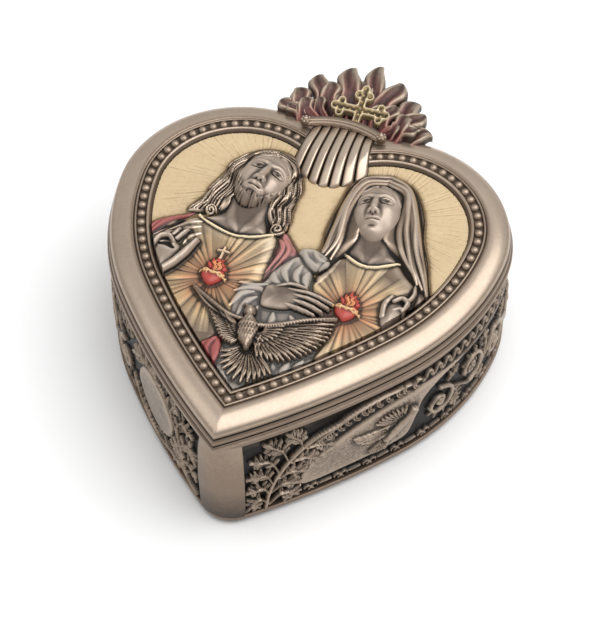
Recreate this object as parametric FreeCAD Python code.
import FreeCAD, Part
import math
import os
from collections import namedtuple

# A heart-shaped keepsake box in bronze-finished cast resin, with a lift-off lid.
# Millimetres, +Z up. The table is z = 0 and the plane of symmetry is x = 0. The
# heart's point looks along -Y, and the line through both lobe centres is y = 0.
# Left and right are as seen from the point, looking along +Y.

# Heart outline, drawn along the row of beads; angles in degrees from +X
LOBE_RADIUS = 24.2
LOBE_CENTRE_X = 19.8
SHOULDER_RADIUS = 59.0
SIDE_RADIUS = 212.0
SHOULDER_TO_LOBE_ANGLE = -4.1
SIDE_TO_SHOULDER_ANGLE = -39.4

# Box; an offset is a distance outside the row of beads
FELT_THICKNESS = 1.0
FELT_INSET = 2.8
BOX_HEIGHT = 32.7
FLOOR_THICKNESS = 3.5
WALL_INNER_OFFSET = 4.2
WALL_FOOT_OFFSET = 8.8
WALL_BELLY_OFFSET = 9.4
WALL_RIM_OFFSET = 8.0

# Carved side panels, let into the wall
POST_HALF_WIDTH = 7.5
PANEL_END_ANGLE = 116.0
PANEL_SEAT_OFFSET = 7.0
PANEL_GROUND_OFFSET = 8.4
PANEL_FOOT_HEIGHT = 2.2
PANEL_HEIGHT = 28.6
PANEL_RIB_RADIUS = 1.0
PANEL_RIB_OFFSET = 9.0
CARTOUCHE_RISE = 1.4
CARTOUCHE_HEIGHT = 15.0
CARTOUCHE_ARC_SHARES = (0.42, 0.80)
LEAF_LENGTH = 9.0
LEAF_WIDTH = 3.4
LEAF_RISE = 1.9
LEAF_ROOT = 0.7
LEAF_PITCH = 6.0
LEAF_LEAN = 38.0
LEAF_ROW_HEIGHT = 6.4

# Lid frame, from the box rim upwards
LID_SEAT_GAP = 0.15
LEDGE_OFFSET = 9.2
LEDGE_HEIGHT = 1.65
STEP_OFFSET = 8.0
STEP_HEIGHT = 2.5
BAND_RISE = 3.0
BAND_CROWN = 0.9
LIP_OUTER_OFFSET = 2.4
LIP_WIDTH = 0.6
LIP_RISE = 0.25
FRAME_INNER_OFFSET = -2.6
CHANNEL_DEPTH = 0.8
PLUG_CLEARANCE = 0.3
PLUG_WALL = 2.4
PLUG_DEPTH = 3.0
PLATE_THICKNESS = 1.8
PLATE_LAP = 1.0
PLAQUE_THICKNESS = 1.8
PLAQUE_RECESS = 2.2
PLAQUE_CLEARANCE = 0.1

# Beads
BEAD_RADIUS = 1.05
BEAD_PITCH = 2.95
BEAD_LIFT = 0.35

# Fluted clasp over the cleft, and the bar across its head
FLUTE_COUNT = 7
FLUTE_HEAD_RADIUS = 1.25
FLUTE_FOOT_RADIUS = 1.55
FLUTE_HEAD_PITCH = 2.3
FLUTE_FOOT_PITCH = 2.85
CLASP_LENGTH = 20.0
CLASP_FOOT_REACH = 5.6
CLASP_FOOT_BOW = 4.0
CLASP_FOOT_DROP = 0.9
CLASP_HEAD_LIFT = 0.8
BAR_RADIUS = 1.1
BAR_HALF_WIDTH = 10.5
BAR_BOW = 2.4
BAR_LIFT = 1.7
BAR_BALL_RADIUS = 1.6

# Flame crest behind the cleft; rows of flames are root x, tip x, tip y and girth
CREST_HALF_WIDTH = 22.0
CREST_LENGTH = 32.0
CREST_DEPTH_BELOW_BEADS = 4.2
CREST_CURL = 1.2
FLAME_SWAY = 1.2
FLAME_GIRTH = 2.6
FLAME_SHARES = (
    (-0.66, -0.94, 0.32, 0.75),
    (-0.56, -0.72, 0.46, 0.85),
    (-0.46, -0.52, 0.70, 0.90),
    (-0.30, -0.38, 0.66, 0.95),
    (-0.16, -0.22, 0.87, 1.00),
    (0.00, 0.02, 1.00, 1.15),
    (0.16, 0.26, 0.80, 1.00),
    (0.32, 0.48, 0.76, 0.95),
    (0.46, 0.70, 0.56, 0.90),
    (0.56, 0.86, 0.43, 0.85),
    (0.66, 1.00, 0.33, 0.75),
)
FLAME_STATION_SHARES = ((0.0, 0.85), (0.3, 1.0), (0.6, 0.72), (0.85, 0.34), (1.0, 0.06))

# Budded cross on the crest
CROSS_HEIGHT = 17.0
CROSS_SPAN = 15.5
CROSS_STEM_WIDTH = 2.4
CROSS_THICKNESS = 2.4
CROSS_BUD_RADIUS = 1.35
CROSS_FOOT_REACH = 5.6
CROSS_ARM_SHARE = 0.5
CROSS_DEPTH_BELOW_BEADS = 1.8

# Relief on the plaque: heights above the plaque
CLOTH_HEIGHT = 2.6
MANTLE_HEIGHT = 2.2
HAIR_HEIGHT = 3.2
VEIL_HEIGHT = 3.2
SLEEVE_HEIGHT = 3.6
PALM_HEIGHT = 3.4
DRAPE_HEIGHT = 2.0
CHARM_HEIGHT = 4.0
WING_HEIGHT = 3.2
RELIEF_CROWN = 1.4
RELIEF_ROOM = 12.0
RELIEF_CLEARANCE = 0.2

# Heads are turned forms; the skull and jaw are half-lengths along the head's axis
HEAD_RADIUS = 6.2
SKULL_LENGTH = 9.5
JAW_LENGTH = 10.5
HEAD_LIFT = 0.8
NECK_RADIUS = 5.2
NECK_LENGTH = 16.0
NECK_SINK = 1.8
COLLAR_RADIUS = 0.55
COLLAR_LIFT = 2.6
FINGER_RADIUS = 0.8
FINGER_LIFT = 2.6
CHARM_WIDTH = 7.6
BIRD_LENGTH = 12.0
BIRD_GIRTH = 4.6
BIRD_TURN = 115.0

# Places and outlines on the plaque, as shares of the bead row's half width
LEFT_HEAD_SHARES = (-0.345, 0.105)
LEFT_HEAD_TURN = 84.0
RIGHT_HEAD_SHARES = (0.382, 0.07)
RIGHT_HEAD_TURN = 102.0
LEFT_CHARM_SHARES = (-0.37, -0.645)
RIGHT_CHARM_SHARES = (0.43, -0.655)
BIRD_SHARES = (-0.045, -0.985)
LEFT_COLLAR_SHARES = ((-0.61, -0.25), (-0.37, -0.325), (-0.14, -0.255))
RIGHT_COLLAR_SHARES = ((0.31, -0.275), (0.44, -0.325), (0.62, -0.25))
LEFT_HAIR_SHARES = (
    (-0.33, 0.41), (-0.49, 0.34), (-0.57, 0.16), (-0.61, -0.02), (-0.68, -0.20), (-0.57, -0.25),
    (-0.35, -0.14), (-0.16, -0.27), (-0.09, -0.20), (-0.11, -0.05), (-0.125, 0.14), (-0.18, 0.33),
)
LEFT_TUNIC_SHARES = (
    (-0.61, -0.24), (-0.75, -0.39), (-0.80, -0.59), (-0.64, -0.87), (-0.45, -1.06), (-0.30, -1.18),
    (-0.21, -1.05), (-0.11, -0.68), (-0.09, -0.41), (-0.14, -0.24), (-0.37, -0.30),
)
LEFT_SHOULDER_SHARES = (
    (-0.64, -0.22), (-0.80, -0.32), (-0.92, -0.50), (-0.84, -0.62), (-0.77, -0.50), (-0.72, -0.33),
)
LEFT_FOLD_SHARES = ((-0.10, -0.18), (0.02, -0.32), (-0.05, -0.50), (-0.10, -0.61), (-0.105, -0.36))
LEFT_HEM_SHARES = ((-0.20, -1.07), (-0.30, -1.19), (-0.16, -1.35), (-0.145, -1.18))
RIGHT_VEIL_SHARES = (
    (0.36, 0.40), (0.21, 0.33), (0.145, 0.14), (0.135, -0.14), (0.09, -0.33), (0.19, -0.45),
    (0.30, -0.38), (0.31, -0.19), (0.44, -0.08), (0.58, -0.18), (0.69, -0.33), (0.88, -0.49),
    (0.84, -0.29), (0.73, -0.09), (0.65, 0.11), (0.54, 0.30),
)
RIGHT_DRESS_SHARES = (
    (0.32, -0.27), (0.21, -0.43), (0.17, -0.60), (0.27, -0.75), (0.36, -0.85), (0.34, -1.05),
    (0.39, -1.14), (0.55, -1.01), (0.70, -0.82), (0.82, -0.62), (0.84, -0.47), (0.68, -0.32),
    (0.60, -0.25), (0.45, -0.30),
)
RIGHT_SLEEVE_SHARES = (
    (0.15, -0.31), (0.05, -0.37), (-0.045, -0.52), (-0.035, -0.64), (-0.14, -0.64), (-0.205, -0.77),
    (-0.16, -0.91), (-0.05, -0.90), (0.0, -0.71), (0.14, -0.62), (0.17, -0.50), (0.20, -0.43),
)
LEFT_PALM_SHARES = (
    (-0.69, -0.76), (-0.76, -0.61), (-0.75, -0.53), (-0.63, -0.52), (-0.58, -0.61), (-0.62, -0.71),
)
LEFT_FINGER_SHARES = (
    ((-0.72, -0.55), (-0.72, -0.48)),
    ((-0.68, -0.53), (-0.68, -0.38)),
    ((-0.645, -0.53), (-0.65, -0.39)),
    ((-0.59, -0.65), (-0.575, -0.47)),
)
RIGHT_PALM_SHARES = (
    (0.69, -0.74), (0.63, -0.64), (0.625, -0.53), (0.70, -0.48), (0.77, -0.57), (0.75, -0.66),
)
RIGHT_FINGER_SHARES = (
    ((0.64, -0.56), (0.63, -0.45)),
    ((0.68, -0.51), (0.685, -0.38)),
    ((0.72, -0.51), (0.73, -0.40)),
    ((0.755, -0.54), (0.76, -0.44)),
)
POINTING_PALM_SHARES = (
    (-0.03, -0.72), (0.07, -0.64), (0.16, -0.65), (0.18, -0.77), (0.07, -0.84), (-0.02, -0.85),
)
POINTING_FINGER_SHARES = (
    ((0.14, -0.66), (0.33, -0.665)),
    ((0.15, -0.70), (0.31, -0.705)),
    ((0.15, -0.74), (0.29, -0.75)),
    ((0.14, -0.78), (0.25, -0.79)),
)
LEFT_WING_SHARES = (
    (-0.05, -0.95), (-0.18, -0.90), (-0.32, -0.85), (-0.43, -0.80), (-0.37, -0.87), (-0.25, -0.99),
    (-0.16, -1.08), (-0.07, -1.11),
)
RIGHT_WING_SHARES = (
    (0.0, -1.0), (0.09, -0.91), (0.23, -0.84), (0.37, -0.80), (0.39, -0.89), (0.34, -1.02),
    (0.24, -1.11), (0.09, -1.13), (0.02, -1.09),
)
TAIL_SHARES = (
    (-0.02, -1.06), (-0.12, -1.18), (-0.09, -1.27), (0.02, -1.33), (0.11, -1.32), (0.18, -1.25),
    (0.09, -1.14), (0.035, -1.07),
)
LOWER_DRAPE_SHARES = (
    (-0.16, -1.12), (-0.15, -1.30), (-0.02, -1.44), (0.14, -1.34), (0.32, -1.18), (0.37, -1.13),
    (0.18, -1.10), (0.0, -1.12),
)
# Heart charm with its flame, as shares of the charm's width
CHARM_SHARES = (
    (0.0, -0.56), (-0.42, -0.22), (-0.49, 0.16), (-0.30, 0.42), (-0.30, 0.88), (0.0, 1.10),
    (0.30, 0.88), (0.30, 0.42), (0.49, 0.16), (0.42, -0.22),
)

# Reach of cutting tools past the body, and the smallest chip kept after a cut
CUT_REACH = 300.0
CHIP_SIZE = 1.6

# Heights worked out from the values above
BOX_BOTTOM = FELT_THICKNESS
BOX_TOP = BOX_BOTTOM + BOX_HEIGHT
LID_BOTTOM = BOX_TOP + LID_SEAT_GAP
LEDGE_TOP = LID_BOTTOM + LEDGE_HEIGHT
STEP_TOP = LEDGE_TOP + STEP_HEIGHT
BEAD_PLANE = STEP_TOP + BAND_RISE
CHANNEL_FLOOR = BEAD_PLANE - CHANNEL_DEPTH
PLAQUE_TOP = BEAD_PLANE - PLAQUE_RECESS
PLAQUE_BOTTOM = PLAQUE_TOP - PLAQUE_THICKNESS
PLATE_BOTTOM = PLAQUE_BOTTOM - PLATE_THICKNESS
BEAD_HALF_WIDTH = LOBE_CENTRE_X + LOBE_RADIUS

# One arc of the right half of the bead row; angles in degrees
HeartArc = namedtuple("HeartArc", "x y radius start end")


def vector(x, y, z=0.0):
    return FreeCAD.Vector(x, y, z)


UP = vector(0, 0, 1)


def crossing_angle(x, radius):
    """Angle from +X, in degrees, at which a circle centred at x crosses x = 0."""
    return math.degrees(math.acos(-x / radius))


def stepped_centre(x, y, distance, angle):
    """Centre of the next tangent arc, a distance back along an angle."""
    turn = math.radians(angle)
    return x - distance * math.cos(turn), y - distance * math.sin(turn)


SHOULDER_CENTRE = stepped_centre(
    LOBE_CENTRE_X, 0.0, SHOULDER_RADIUS - LOBE_RADIUS, SHOULDER_TO_LOBE_ANGLE
)
SIDE_CENTRE = stepped_centre(
    *SHOULDER_CENTRE, SIDE_RADIUS - SHOULDER_RADIUS, SIDE_TO_SHOULDER_ANGLE
)


def half_heart(least=0.0, most=0.0, round_point=False):
    """Arcs of the right half, from the point to the cleft.

    Between the least and most offsets every ring reaches x = 0. With a round point, a
    ring turns about the bead row's point instead of meeting there in a mitre."""
    point_angle = -crossing_angle(SIDE_CENTRE[0], SIDE_RADIUS)
    mitre_angle = -crossing_angle(SIDE_CENTRE[0], SIDE_RADIUS + most)
    cleft_angle = crossing_angle(LOBE_CENTRE_X, LOBE_RADIUS + least)
    side_start = point_angle if round_point else mitre_angle
    arcs = [
        HeartArc(*SIDE_CENTRE, SIDE_RADIUS, side_start, SIDE_TO_SHOULDER_ANGLE),
        HeartArc(*SHOULDER_CENTRE, SHOULDER_RADIUS, SIDE_TO_SHOULDER_ANGLE, SHOULDER_TO_LOBE_ANGLE),
        HeartArc(LOBE_CENTRE_X, 0.0, LOBE_RADIUS, SHOULDER_TO_LOBE_ANGLE, cleft_angle),
    ]
    if round_point:
        point_y = SIDE_CENTRE[1] + SIDE_RADIUS * math.sin(math.radians(point_angle))
        arcs.insert(0, HeartArc(0.0, point_y, 0.0, -90.0, point_angle))
    return arcs


def arc_point(arc, angle, offset, z):
    turn = math.radians(angle)
    reach = arc.radius + offset
    return vector(arc.x + reach * math.cos(turn), arc.y + reach * math.sin(turn), z)


def heart_face(offset, z, round_point=False):
    """Flat heart at an offset from the bead row."""
    edges = []
    for arc in half_heart(offset, offset, round_point):
        middle = (arc.start + arc.end) / 2
        points = [arc_point(arc, angle, offset, z) for angle in (arc.start, middle, arc.end)]
        edges.append(Part.Arc(*points).toShape())
    right = Part.Wire(edges)
    left = right.mirror(vector(0, 0), vector(1, 0))
    return Part.Face(Part.Wire(Part.__sortEdges__(right.Edges + left.Edges)))


def heart_plate(offset, bottom, top, round_point=False):
    return heart_face(offset, bottom, round_point).extrude(UP * (top - bottom))


def profile_face(arc, start, steps):
    """Section at the start of an arc: a step (end,) is a line and (via, end) an arc."""
    edges = []
    here = start
    for step in steps:
        corners = [arc_point(arc, arc.start, *corner) for corner in (here, *step)]
        edges.append(Part.makeLine(*corners) if len(step) == 1 else Part.Arc(*corners).toShape())
        here = step[-1]
    return Part.Face(Part.Wire(edges))


def swept(arc, start, steps):
    """Section turned about the centre of an arc, from its start to its end."""
    axis_point = vector(arc.x, arc.y)
    return profile_face(arc, start, steps).revolve(axis_point, UP, arc.end - arc.start)


def fused(shapes):
    first, *others = shapes
    return first.multiFuse(others) if others else first


def joined(shapes):
    """One solid, with the seams between flush faces taken out."""
    return fused(shapes).removeSplitter()


def mirrored(shape):
    return shape.mirror(vector(0, 0), vector(1, 0))


def heart_ring(start, steps, round_point=False):
    """Ring of one section, in (offset, z), all round the heart."""
    offsets = [start[0]] + [corner[0] for step in steps for corner in step]
    arcs = half_heart(min(offsets), max(offsets), round_point)
    right_side = Part.makeBox(CUT_REACH, 2 * CUT_REACH, CUT_REACH, vector(0, -CUT_REACH))
    half = joined([swept(arc, start, steps) for arc in arcs]).common(right_side)
    return joined([half, mirrored(half)])


def box_shell():
    middle = (BOX_BOTTOM + BOX_TOP) / 2
    wall = heart_ring(
        (WALL_INNER_OFFSET, BOX_BOTTOM),
        [
            ((WALL_FOOT_OFFSET, BOX_BOTTOM),),
            ((WALL_BELLY_OFFSET, middle), (WALL_RIM_OFFSET, BOX_TOP)),
            ((WALL_INNER_OFFSET, BOX_TOP),),
            ((WALL_INNER_OFFSET, BOX_BOTTOM),),
        ],
        round_point=True,
    )
    floor_edge = (WALL_INNER_OFFSET + PANEL_SEAT_OFFSET) / 2
    floor = heart_plate(floor_edge, BOX_BOTTOM, BOX_BOTTOM + FLOOR_THICKNESS, round_point=True)
    seats = [panel_band(WALL_BELLY_OFFSET + WALL_INNER_OFFSET)]
    seats.append(mirrored(seats[0]))
    return joined([wall, floor]).cut(Part.makeCompound(seats))


def panel_arcs():
    """Arcs that a right side panel follows, from the front post to its back end."""
    side, shoulder, lobe = half_heart()
    post_angle = math.degrees(POST_HALF_WIDTH / (SIDE_RADIUS + PANEL_SEAT_OFFSET))
    return [side._replace(start=side.start + post_angle), shoulder, lobe._replace(end=PANEL_END_ANGLE)]


def panel_band(outer_offset):
    """Plain band in the panel's place, from its seat to an outer offset."""
    bottom = BOX_BOTTOM + PANEL_FOOT_HEIGHT
    top = bottom + PANEL_HEIGHT
    steps = [
        ((outer_offset, bottom),),
        ((outer_offset, top),),
        ((PANEL_SEAT_OFFSET, top),),
        ((PANEL_SEAT_OFFSET, bottom),),
    ]
    return joined([swept(arc, (PANEL_SEAT_OFFSET, bottom), steps) for arc in panel_arcs()])


def panel_rib(z):
    """Half-round moulding along the panel at one height."""
    low, high = z - PANEL_RIB_RADIUS, z + PANEL_RIB_RADIUS
    crest = PANEL_RIB_OFFSET + PANEL_RIB_RADIUS
    steps = [
        ((PANEL_RIB_OFFSET, low),),
        ((crest, z), (PANEL_RIB_OFFSET, high)),
        ((PANEL_SEAT_OFFSET, high),),
        ((PANEL_SEAT_OFFSET, low),),
    ]
    return joined([swept(arc, (PANEL_SEAT_OFFSET, low), steps) for arc in panel_arcs()])


def spindle(length, girth):
    """Turned bud along X, pointed at neither end."""
    half_length = length / 2
    rim = Part.Arc(Part.Ellipse(vector(0, 0), half_length, girth), 0.0, math.pi).toShape()
    axis = Part.makeLine(vector(-half_length, 0), vector(half_length, 0))
    return Part.Face(Part.Wire([rim, axis])).revolve(vector(0, 0), vector(1, 0), 360)


def panel_leaf(arc, angle, z, lean):
    """Pointed, crowned leaf on the panel's ground, leaning along the wall."""
    half_length, half_width = LEAF_LENGTH / 2, LEAF_WIDTH / 2
    heel, toe = vector(-half_length, 0), vector(half_length, 0)
    upper = Part.Arc(toe, vector(0, half_width), heel).toShape()
    lower = Part.Arc(heel, vector(0, -half_width), toe).toShape()
    prism = Part.Face(Part.Wire([upper, lower])).extrude(UP * (LEAF_ROOT + LEAF_RISE))
    crown = Part.makeSphere(LEAF_LENGTH, vector(0, 0, LEAF_ROOT + LEAF_RISE - LEAF_LENGTH))
    leaf = prism.common(crown)
    leaf.rotate(vector(0, 0), UP, lean)
    turn = math.radians(angle)
    along, outward = vector(-math.sin(turn), math.cos(turn)), vector(math.cos(turn), math.sin(turn))
    place = arc_point(arc, angle, PANEL_GROUND_OFFSET - LEAF_ROOT, z)
    leaf.Placement = FreeCAD.Placement(place, FreeCAD.Rotation(along, UP, outward)) * leaf.Placement
    return leaf


def panel_leaves(middle, plate_arc):
    """Two rows of leaves that lean apart, with room left for the cartouche."""
    leaves = []
    for arc in panel_arcs():
        length = math.radians(arc.end - arc.start) * (arc.radius + PANEL_GROUND_OFFSET)
        count = max(1, round(length / LEAF_PITCH))
        for index in range(count):
            angle = arc.start + (index + 0.5) / count * (arc.end - arc.start)
            if arc.radius == plate_arc.radius and plate_arc.start < angle < plate_arc.end:
                continue
            leaves.append(panel_leaf(arc, angle, middle + LEAF_ROW_HEIGHT, LEAF_LEAN))
            leaves.append(panel_leaf(arc, angle, middle - LEAF_ROW_HEIGHT, -LEAF_LEAN))
    return leaves


def panel_plate(middle):
    """Plain bowed cartouche on the panel's side stretch, with the arc that it covers."""
    side = panel_arcs()[0]
    low, high = (side.start + share * (side.end - side.start) for share in CARTOUCHE_ARC_SHARES)
    plate_arc = side._replace(start=low, end=high)
    bottom, top = middle - CARTOUCHE_HEIGHT / 2, middle + CARTOUCHE_HEIGHT / 2
    crest = (PANEL_GROUND_OFFSET + CARTOUCHE_RISE, middle)
    plate = swept(plate_arc, (PANEL_SEAT_OFFSET, bottom), [
        ((PANEL_GROUND_OFFSET, bottom),),
        (crest, (PANEL_GROUND_OFFSET, top)),
        ((PANEL_SEAT_OFFSET, top),),
        ((PANEL_SEAT_OFFSET, bottom),),
    ])
    return plate, plate_arc


def side_panel():
    """Right panel: ground, ribs, plain cartouche and two rows of leaves."""
    bottom = BOX_BOTTOM + PANEL_FOOT_HEIGHT
    top = bottom + PANEL_HEIGHT
    middle = (bottom + top) / 2
    plate, plate_arc = panel_plate(middle)
    solids = [panel_band(PANEL_GROUND_OFFSET), plate]
    solids += [panel_rib(z) for z in (bottom + PANEL_RIB_RADIUS, top - PANEL_RIB_RADIUS)]
    solids += panel_leaves(middle, plate_arc)
    inside = panel_band(WALL_BELLY_OFFSET + WALL_INNER_OFFSET)
    return fused(solids).common(inside)


def base_felt():
    return heart_plate(WALL_FOOT_OFFSET - FELT_INSET, 0.0, FELT_THICKNESS, round_point=True)


def lid_frame():
    crest_via = ((LIP_OUTER_OFFSET + STEP_OFFSET) / 2, (STEP_TOP + BEAD_PLANE) / 2 + BAND_CROWN)
    lip_top = BEAD_PLANE + LIP_RISE
    outer_lip_foot = LIP_OUTER_OFFSET - LIP_WIDTH
    inner_lip_foot = FRAME_INNER_OFFSET + LIP_WIDTH
    frame = heart_ring(
        (FRAME_INNER_OFFSET, PLATE_BOTTOM),
        [
            ((WALL_INNER_OFFSET, PLATE_BOTTOM),),
            ((WALL_INNER_OFFSET, LID_BOTTOM),),
            ((LEDGE_OFFSET, LID_BOTTOM),),
            ((LEDGE_OFFSET, LEDGE_TOP),),
            ((STEP_OFFSET, LEDGE_TOP),),
            ((STEP_OFFSET, STEP_TOP),),
            (crest_via, (LIP_OUTER_OFFSET, BEAD_PLANE)),
            ((LIP_OUTER_OFFSET, lip_top),),
            ((outer_lip_foot, lip_top),),
            ((outer_lip_foot, CHANNEL_FLOOR),),
            ((inner_lip_foot, CHANNEL_FLOOR),),
            ((inner_lip_foot, lip_top),),
            ((FRAME_INNER_OFFSET, lip_top),),
            ((FRAME_INNER_OFFSET, PLATE_BOTTOM),),
        ],
    )
    plug_outer = WALL_INNER_OFFSET - PLUG_CLEARANCE
    plug_inner = plug_outer - PLUG_WALL
    plug_bottom = LID_BOTTOM - PLUG_DEPTH
    plug = heart_ring(
        (plug_inner, plug_bottom),
        [
            ((plug_outer, plug_bottom),),
            ((plug_outer, PLATE_BOTTOM),),
            ((plug_inner, PLATE_BOTTOM),),
            ((plug_inner, plug_bottom),),
        ],
        round_point=True,
    )
    plate = heart_plate(FRAME_INNER_OFFSET + PLATE_LAP, PLATE_BOTTOM, PLAQUE_BOTTOM)
    return joined([frame, plug, plate])


def plaque():
    return heart_plate(FRAME_INNER_OFFSET - PLAQUE_CLEARANCE, PLAQUE_BOTTOM, PLAQUE_TOP)


def border_beads():
    """Beads along the channel, from one at the point to the clasp on each side."""
    arcs = half_heart()
    clasp_edge = FLUTE_COUNT / 2 * FLUTE_FOOT_PITCH + BEAD_RADIUS
    last = arcs[-1]
    end = math.degrees(math.acos((clasp_edge - last.x) / last.radius))
    arcs[-1] = last._replace(end=end)
    lengths = [arc.radius * math.radians(arc.end - arc.start) for arc in arcs]
    count = round(sum(lengths) / BEAD_PITCH)
    low_angle = -math.degrees(math.asin(BEAD_LIFT / BEAD_RADIUS))
    height = CHANNEL_FLOOR + BEAD_LIFT
    beads = []
    for index in range(count + 1):
        distance = index / count * sum(lengths)
        arc, length = arcs[0], lengths[0]
        for arc, length in zip(arcs, lengths):
            if distance <= length:
                break
            distance -= length
        angle = arc.start + min(distance / length, 1.0) * (arc.end - arc.start)
        bead = Part.makeSphere(BEAD_RADIUS, arc_point(arc, angle, 0.0, height), UP, low_angle, 90, 360)
        beads.append(bead)
        if index:
            beads.append(mirrored(bead))
    return Part.makeCompound(beads)


def cleft_y(offset):
    """Where a ring at an offset meets the plane of symmetry behind the lobes."""
    return math.sqrt((LOBE_RADIUS + offset) ** 2 - LOBE_CENTRE_X ** 2)


def rod(spine, radius):
    """Round rod along an arc."""
    ring = Part.Circle(spine.StartPoint, spine.tangent(spine.FirstParameter)[0], radius)
    return Part.Wire(spine.toShape()).makePipeShell([Part.Wire(ring.toShape())], True, True)


def clasp_bar():
    """Bowed bar with a ball at each end, across the head of the clasp."""
    end_y = clasp_head_y() - BAR_RADIUS
    height = BEAD_PLANE + BAR_LIFT
    ends = [vector(x, end_y, height) for x in (-BAR_HALF_WIDTH, BAR_HALF_WIDTH)]
    spine = Part.Arc(ends[0], vector(0, end_y + BAR_BOW, height), ends[1])
    return joined([rod(spine, BAR_RADIUS)] + [Part.makeSphere(BAR_BALL_RADIUS, end) for end in ends])


def clasp_foot_y():
    return cleft_y(0.0) - CLASP_FOOT_REACH


def clasp_head_y():
    return clasp_foot_y() + CLASP_LENGTH


def scallop_clasp():
    """Fan of tapered flutes from the plaque up over the frame; outer flutes end higher."""
    flutes = []
    middle = (FLUTE_COUNT - 1) / 2
    for index in range(FLUTE_COUNT):
        place = index - middle
        bow = CLASP_FOOT_BOW * (place / middle) ** 2
        foot_y = clasp_foot_y() + FLUTE_FOOT_RADIUS + bow
        foot = vector(place * FLUTE_FOOT_PITCH, foot_y, BEAD_PLANE - CLASP_FOOT_DROP)
        head = vector(place * FLUTE_HEAD_PITCH, clasp_head_y(), BEAD_PLANE + CLASP_HEAD_LIFT)
        run = head - foot
        flutes.append(Part.makeCone(FLUTE_FOOT_RADIUS, FLUTE_HEAD_RADIUS, run.Length, foot, run))
        flutes.append(Part.makeSphere(FLUTE_FOOT_RADIUS, foot))
    return joined(flutes)


def frame_back_y(x):
    """Back of the frame's step behind a lobe, at one x."""
    return math.sqrt((LOBE_RADIUS + STEP_OFFSET) ** 2 - (abs(x) - LOBE_CENTRE_X) ** 2)


def flame(root, tip, girth, sway):
    """Tongue that swells from its root, curls up, sways and runs out to a point."""
    run = tip - root
    across = run.cross(UP).normalize()
    rings = []
    for share, girth_share in FLAME_STATION_SHARES:
        lift = UP * CREST_CURL * math.sin(share * math.pi)
        swing = across * sway * math.sin(2 * share * math.pi)
        centre = root + run * share + lift + swing
        rings.append(Part.Wire(Part.Circle(centre, run, girth * girth_share).toShape()))
    return Part.makeLoft(rings, True, False)


def flame_crest():
    height = BEAD_PLANE - CREST_DEPTH_BELOW_BEADS
    start_y = cleft_y(STEP_OFFSET)
    tongues = []
    for index, (root_x, tip_x, tip_y, girth) in enumerate(FLAME_SHARES):
        x = root_x * CREST_HALF_WIDTH
        root = vector(x, min(frame_back_y(x), start_y + tip_y * CREST_LENGTH / 2), height)
        tip = vector(tip_x * CREST_HALF_WIDTH, start_y + tip_y * CREST_LENGTH, height)
        sway = FLAME_SWAY if index % 2 else -FLAME_SWAY
        tongues.append(flame(root, tip, girth * FLAME_GIRTH, sway))
    return fused(tongues)


def crest_cross():
    """Cross with three buds at the end of each arm, lying on the flames."""
    bottom = BEAD_PLANE - CROSS_DEPTH_BELOW_BEADS
    foot_y = cleft_y(STEP_OFFSET) + CROSS_FOOT_REACH
    centre_y = foot_y + CROSS_ARM_SHARE * CROSS_HEIGHT
    half_width = CROSS_STEM_WIDTH / 2
    half_span = CROSS_SPAN / 2
    stem_corner = vector(-half_width, foot_y, bottom)
    arm_corner = vector(-half_span, centre_y - half_width, bottom)
    solids = [
        Part.makeBox(CROSS_STEM_WIDTH, CROSS_HEIGHT, CROSS_THICKNESS, stem_corner),
        Part.makeBox(CROSS_SPAN, CROSS_STEM_WIDTH, CROSS_THICKNESS, arm_corner),
    ]
    arms = [
        (vector(0, foot_y, bottom), vector(0, -1)),
        (vector(0, foot_y + CROSS_HEIGHT, bottom), vector(0, 1)),
        (vector(-half_span, centre_y, bottom), vector(-1, 0)),
        (vector(half_span, centre_y, bottom), vector(1, 0)),
    ]
    for end, outward in arms:
        across = outward.cross(UP)
        buds = (end, end - outward * CROSS_BUD_RADIUS + across * CROSS_BUD_RADIUS,
                end - outward * CROSS_BUD_RADIUS - across * CROSS_BUD_RADIUS)
        solids += [Part.makeCylinder(CROSS_BUD_RADIUS, CROSS_THICKNESS, bud) for bud in buds]
    return joined(solids)


def relief_point(shares, z=PLAQUE_TOP, unit=BEAD_HALF_WIDTH):
    return vector(shares[0] * unit, shares[1] * unit, z)


def crowned(points, height, crown=RELIEF_CROWN):
    """Cushion on the plaque: a smooth closed outline under a shallow dome."""
    curve = Part.BSplineCurve()
    curve.interpolate(Points=points, PeriodicFlag=True)
    prism = Part.Face(Part.Wire(curve.toShape())).extrude(UP * (height + crown))
    box = prism.BoundBox
    reach = math.hypot(box.XLength, box.YLength) / 2
    radius = (reach ** 2 + crown ** 2) / (2 * crown)
    dome = Part.makeSphere(radius, vector(box.Center.x, box.Center.y, PLAQUE_TOP + height - radius))
    return prism.common(dome)


def cushion(shares, height):
    return crowned([relief_point(place) for place in shares], height)


def head(shares, turn):
    """Egg-shaped head and its neck, lying along a direction in the plaque's plane."""
    skull = Part.Arc(Part.Ellipse(vector(0, 0), SKULL_LENGTH, HEAD_RADIUS), 0.0, math.pi / 2)
    jaw = Part.Arc(Part.Ellipse(vector(0, 0), JAW_LENGTH, HEAD_RADIUS), math.pi / 2, math.pi)
    axis = Part.makeLine(vector(-JAW_LENGTH, 0), vector(SKULL_LENGTH, 0))
    section = Part.Face(Part.Wire([skull.toShape(), jaw.toShape(), axis]))
    egg = section.revolve(vector(0, 0), vector(1, 0), 360)
    neck = Part.makeCylinder(NECK_RADIUS, NECK_LENGTH, vector(0, 0, -NECK_SINK), vector(-1, 0))
    whole = joined([egg, neck])
    whole.rotate(vector(0, 0), UP, turn)
    whole.translate(relief_point(shares, PLAQUE_TOP + HEAD_LIFT))
    return whole


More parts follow.
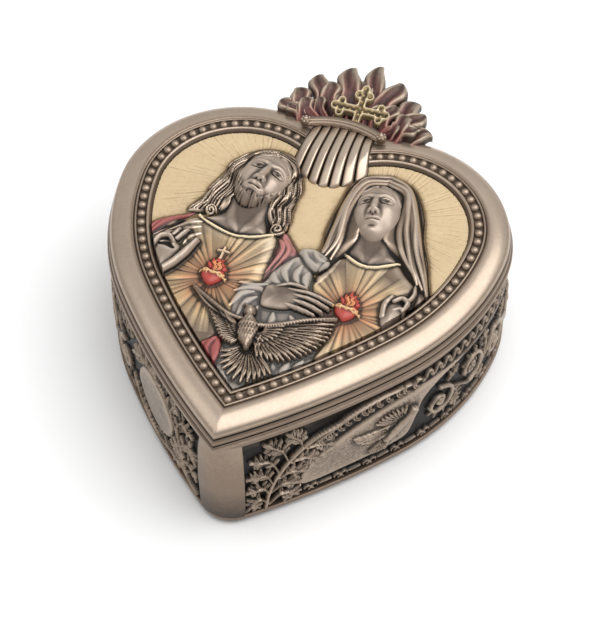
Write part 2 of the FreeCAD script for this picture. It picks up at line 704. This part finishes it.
def collar(shares):
    """Round cord along a bowed line."""
    points = [relief_point(place, PLAQUE_TOP + COLLAR_LIFT) for place in shares]
    spine = Part.Arc(*points)
    ends = [Part.makeSphere(COLLAR_RADIUS, point) for point in (points[0], points[-1])]
    return joined([rod(spine, COLLAR_RADIUS)] + ends)


def hand(palm_shares, finger_shares):
    """Palm with round-ended fingers."""
    solids = [cushion(palm_shares, PALM_HEIGHT)]
    for knuckle, tip in finger_shares:
        start, end = (relief_point(place, PLAQUE_TOP + FINGER_LIFT) for place in (knuckle, tip))
        run = end - start
        solids.append(Part.makeCylinder(FINGER_RADIUS, run.Length, start, run))
        solids.append(Part.makeSphere(FINGER_RADIUS, end))
    return joined(solids)


def charm(shares):
    """Small heart with a flame above it."""
    centre = relief_point(shares)
    points = [centre + relief_point(place, 0.0, CHARM_WIDTH) for place in CHARM_SHARES]
    return crowned(points, CHARM_HEIGHT)


def dove():
    """Bird with a turned body, two spread wings and a fanned tail."""
    body = spindle(BIRD_LENGTH, BIRD_GIRTH / 2)
    body.rotate(vector(0, 0), UP, BIRD_TURN)
    body.translate(relief_point(BIRD_SHARES, PLAQUE_TOP + BIRD_GIRTH / 2))
    fans = (LEFT_WING_SHARES, RIGHT_WING_SHARES, TAIL_SHARES)
    return fused([body] + [cushion(shares, WING_HEIGHT) for shares in fans])


def relief():
    """Relief pieces by name, from the front to the back of the scene."""
    folds = (LEFT_SHOULDER_SHARES, LEFT_FOLD_SHARES, LEFT_HEM_SHARES)
    mantle = [cushion(shares, MANTLE_HEIGHT) for shares in folds]
    return {
        "left_heart": charm(LEFT_CHARM_SHARES),
        "right_heart": charm(RIGHT_CHARM_SHARES),
        "left_hand": hand(LEFT_PALM_SHARES, LEFT_FINGER_SHARES),
        "right_raised_hand": hand(RIGHT_PALM_SHARES, RIGHT_FINGER_SHARES),
        "right_pointing_hand": hand(POINTING_PALM_SHARES, POINTING_FINGER_SHARES),
        "dove": dove(),
        "left_collar": collar(LEFT_COLLAR_SHARES),
        "right_collar": collar(RIGHT_COLLAR_SHARES),
        "right_sleeve": cushion(RIGHT_SLEEVE_SHARES, SLEEVE_HEIGHT),
        "left_head": head(LEFT_HEAD_SHARES, LEFT_HEAD_TURN),
        "right_head": head(RIGHT_HEAD_SHARES, RIGHT_HEAD_TURN),
        "left_hair": cushion(LEFT_HAIR_SHARES, HAIR_HEIGHT),
        "right_veil": cushion(RIGHT_VEIL_SHARES, VEIL_HEIGHT),
        "left_mantle": Part.makeCompound(mantle),
        "left_tunic": cushion(LEFT_TUNIC_SHARES, CLOTH_HEIGHT),
        "right_dress": cushion(RIGHT_DRESS_SHARES, CLOTH_HEIGHT),
        "lower_drape": cushion(LOWER_DRAPE_SHARES, DRAPE_HEIGHT),
    }


def without_chips(shape):
    """Solids of a cut piece, without crumbs smaller than a chip."""
    return Part.makeCompound([solid for solid in shape.Solids if solid.Volume > CHIP_SIZE ** 3])


def fitted(pieces, space, keep_out):
    """Pieces kept inside a space, each cut clear of those before it."""
    done = {}
    taken = list(keep_out)
    for name, piece in pieces.items():
        piece = piece.common(space)
        near = [solid for solid in taken if solid.BoundBox.intersect(piece.BoundBox)]
        done[name] = without_chips(piece.cut(near) if near else piece)
        taken += done[name].Solids
    return done


def lid_pieces():
    frame = lid_frame()
    ground = plaque()
    beads = border_beads()
    trim = {
        "clasp_bar": clasp_bar(),
        "scallop_clasp": scallop_clasp(),
        "crest_cross": crest_cross(),
        "flame_crest": flame_crest(),
    }
    corner = vector(-CUT_REACH, -CUT_REACH, LID_BOTTOM)
    room = Part.makeBox(2 * CUT_REACH, 2 * CUT_REACH, CUT_REACH, corner)
    trim = fitted(trim, room, [frame, ground])
    opening = heart_plate(FRAME_INNER_OFFSET - RELIEF_CLEARANCE, PLAQUE_TOP, PLAQUE_TOP + RELIEF_ROOM)
    figures = fitted(relief(), opening, trim["scallop_clasp"].Solids)
    return {"lid_frame": frame, "plaque": ground, "border_beads": beads, **trim, **figures}


def main():
    right_panel = side_panel()
    pieces = {
        "box_shell": box_shell(),
        "right_side_panel": right_panel,
        "left_side_panel": mirrored(right_panel),
        "base_felt": base_felt(),
        **lid_pieces(),
    }
    os.makedirs("parts", exist_ok=True)
    for name, shape in pieces.items():
        shape.exportStep(os.path.join("parts", name + ".step"))


main()
